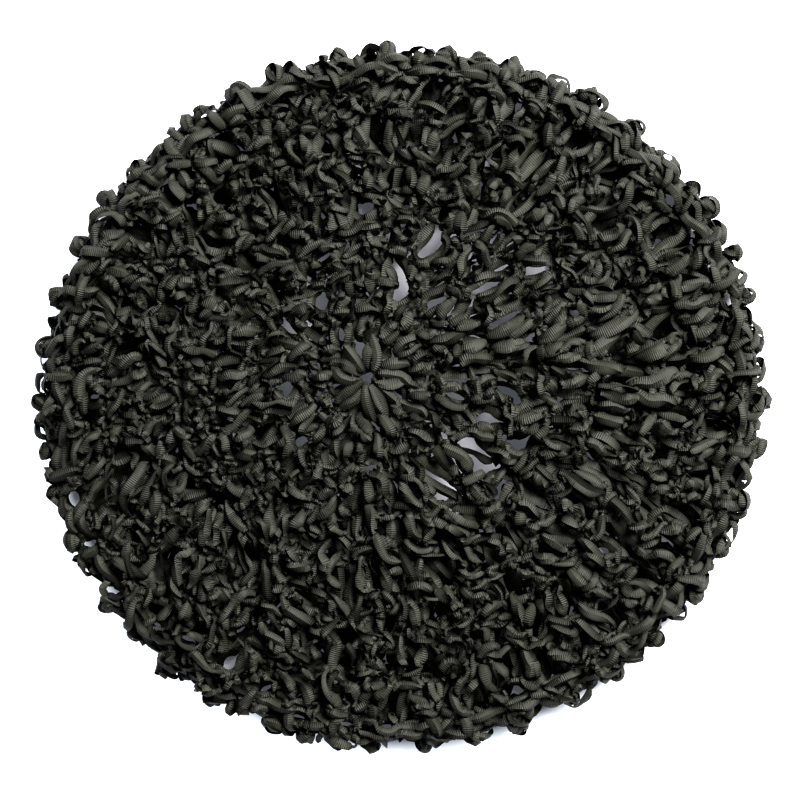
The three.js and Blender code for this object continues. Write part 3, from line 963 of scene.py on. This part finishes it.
for course in courses + innerCourses:
    addRibbon("star" if course.get("star") else "course", course["node"], course["wide"], courseLoop(course))
addRibbon("ring", centreRing["node"], centreRing["wide"], ringLoop())
for petal in seamPetals:
    addRibbon("petal", petal["node"], petal["wide"], petalLoop(petal))
for node, share, out in rimStrands:
    addRibbon("rimStrand", node, rimStrandLook["wide"], rimStrandLoop(share, out))
for index in range(knobs["count"]):
    addRibbon("knob", knobs["node"], knobs["wide"], knobLoop(index))
stitchCount = sum(course["columns"] for course in courses)
ribbonMetres = sum(len(ribbon["loop"]) for ribbon in ribbons) * stitchLook["strandStep"] * mm
print("stitches worked:", stitchCount, "metres of ribbon:", round(ribbonMetres, 1))
loops = [ribbon["loop"] for ribbon in ribbons]
loops = settleStrands(loops, [ribbon["hold"] for ribbon in ribbons])
print("strands settled")

tubes = {}
for ribbon, loop in zip(ribbons, loops):
    tubes.setdefault(ribbon["node"], []).append(ribbonTube(loop, ribbon["wide"], ribbon["roll"]))
triangles = 0
for node, parts in tubes.items():
    piece = joinedMesh(node + "_ribbon", parts)
    piece.data.materials.append(ribbonMaterials[slotOf[node]])
    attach(piece, "root")
    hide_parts(node)
    triangles += len(piece.data.polygons) * 2
    print(piece.name, len(piece.data.polygons) * 2, "triangles")
print("triangles in all:", triangles)

# Floor, light and camera
paper = {
    "size": 30, "colour": (0.57, 0.56, 0.6, 1), "roughness": 0.7,
    "glow": (0.88, 0.93, 1, 1), "glowUnder": 0.1, "glowClear": 0.8,  # painted light, weaker under the net, which paints shade there, than clear of it, where it hides the net's cast shadow
    "netEdge": (0.125, 0.131),  # metres from the middle, where the one turns into the other
}
bpy.ops.mesh.primitive_plane_add(size=paper["size"], location=(0, 0, 0))
floor = bpy.context.object
floor.name = "floor"
floorLook = bpy.data.materials.new("paleFloor")
floorLook.use_nodes = True
floorTree = floorLook.node_tree
floorShader = floorTree.nodes["Principled BSDF"]
floorShader.inputs["Base Color"].default_value = paper["colour"]
floorShader.inputs["Roughness"].default_value = paper["roughness"]
floorShader.inputs["Emission Color"].default_value = paper["glow"]
floorCoords = floorTree.nodes.new("ShaderNodeTexCoord")
floorReach = floorTree.nodes.new("ShaderNodeVectorMath")
floorReach.operation = "LENGTH"
floorTree.links.new(floorCoords.outputs["Object"], floorReach.inputs[0])
# painted light: the floor glows, washing out the net's cast shadow clear of the net, and less under the net
# as painted shade
clearOfNet = floorTree.nodes.new("ShaderNodeMapRange")
clearOfNet.inputs["From Min"].default_value = paper["netEdge"][0]
clearOfNet.inputs["From Max"].default_value = paper["netEdge"][1]
clearOfNet.inputs["To Min"].default_value = paper["glowUnder"]
clearOfNet.inputs["To Max"].default_value = paper["glowClear"]
floorTree.links.new(floorReach.outputs["Value"], clearOfNet.inputs["Value"])
floorTree.links.new(clearOfNet.outputs["Result"], floorShader.inputs["Emission Strength"])
floor.data.materials.append(floorLook)

world = bpy.data.worlds.new("studio")
world.use_nodes = True
world.node_tree.nodes["Background"].inputs["Color"].default_value = (0.93, 0.96, 1, 1)
world.node_tree.nodes["Background"].inputs["Strength"].default_value = 0.08
bpy.context.scene.world = world

window = {"place": (0.48, 0.56, 1.0), "size": 0.6, "power": 40, "colour": (1, 0.99, 0.97)}
bpy.ops.object.light_add(type="AREA", location=window["place"])
lamp = bpy.context.object
lamp.name = "window"
lamp.data.size = window["size"]
lamp.data.energy = window["power"]
lamp.data.color = window["colour"]
lamp.rotation_euler = (-lamp.location).to_track_quat("-Z", "Y").to_euler()

x, y = viewpoint["middle"]
bpy.ops.object.camera_add(location=(x * mm, y * mm, viewpoint["height"] * mm))
camera = bpy.context.object
camera.data.lens = viewpoint["lens"]
camera.data.sensor_width = viewpoint["sensor"]
bpy.context.scene.camera = camera
bpy.context.scene.view_settings.view_transform = "Standard"
bpy.context.scene.view_settings.look = "Very High Contrast"
print("floor, light and camera placed")
